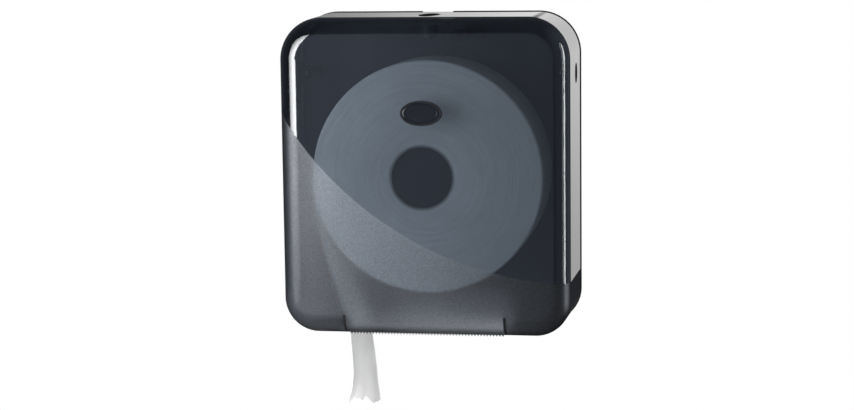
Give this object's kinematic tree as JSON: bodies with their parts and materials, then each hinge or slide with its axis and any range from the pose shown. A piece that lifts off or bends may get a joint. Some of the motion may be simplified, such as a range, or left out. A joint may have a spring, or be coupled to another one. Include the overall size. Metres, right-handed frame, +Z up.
{
  "type": "jumbo toilet roll dispenser",
  "caption": "Wall dispenser with a smoked hinged cover, top lock, side catch buttons, toothed tear bar and a jumbo paper roll on a spindle.",
  "frame": {"origin": "centre of the four wall screws, on the wall plane at the back of the plate", "axes": "+X to the right seen from the front, +Y into the wall, +Z up"},
  "size_m": [0.3516, 0.1316, 0.4857],
  "materials": {
    "smoked_plastic": "smoked see-through plastic, polished above an arc and frosted below it",
    "black_plastic": "satin moulded",
    "hub_plastic": "satin moulded",
    "badge_plastic": "glossy dark grey",
    "steel": "plain zinc plated",
    "tissue": "embossed recycled tissue",
    "cardboard": "grey board tube"
  },
  "bodies": {
    "base": {"back_plate": "black_plastic", "hinge_pin_left": "steel", "hinge_pin_right": "steel", "spindle_post": "black_plastic", "spindle_screws": "steel", "hub_washer": "hub_plastic", "hub_screw": "steel", "paper_web": "tissue", "paper_tail": "tissue", "lock_keeper": "black_plastic", "lock_keeper_screws": "steel", "catch_keeper_left": "black_plastic", "catch_keeper_right": "black_plastic", "catch_keeper_screw_left": "steel", "catch_keeper_screw_right": "steel"},
    "cover": {"cover": "smoked_plastic", "tear_bar": "black_plastic", "badge_bezel": "badge_plastic", "badge_insert": "badge_plastic", "lock_housing": "black_plastic", "lock_screws": "steel", "catch_spring_left": "steel", "catch_spring_right": "steel"},
    "lock": {"lock_plug": "steel", "lock_cam": "black_plastic", "lock_cam_screw": "steel"},
    "catch_left": {"catch_button_left": "black_plastic", "catch_hook_left": "black_plastic", "catch_hook_screw_left": "steel"},
    "catch_right": {"catch_button_right": "black_plastic", "catch_hook_right": "black_plastic", "catch_hook_screw_right": "steel"},
    "roll": {"hub": "hub_plastic", "roll_core": "cardboard", "paper_roll": "tissue"}
  },
  "joints": [
    {"name": "cover_hinge", "type": "hinge", "parent": "base", "child": "cover", "pos_m": [0, -0.0096, -0.185], "axis": [1, 0, 0], "range_deg": [0, 90], "deforming": ["paper_tail"]},
    {"name": "lock_turn", "type": "hinge", "parent": "cover", "child": "lock", "pos_m": [0, -0.066, 0.1662], "axis": [0, 0, -1], "range_deg": [0, 90]},
    {"name": "catch_press_left", "type": "slide", "parent": "cover", "child": "catch_left", "axis": [1, 0, 0], "range_m": [0, 0.004], "stiffness_N_per_m": 800, "deforming": ["catch_spring_left"]},
    {"name": "catch_press_right", "type": "slide", "parent": "cover", "child": "catch_right", "axis": [-1, 0, 0], "range_m": [0, 0.004], "stiffness_N_per_m": 800, "deforming": ["catch_spring_right"]},
    {"name": "roll_spin", "type": "hinge", "parent": "base", "child": "roll", "pos_m": [-0.0045, -0.0585, -0.0016], "axis": [0, 1, 0], "continuous": true, "deforming": ["paper_web"]}
  ]
}
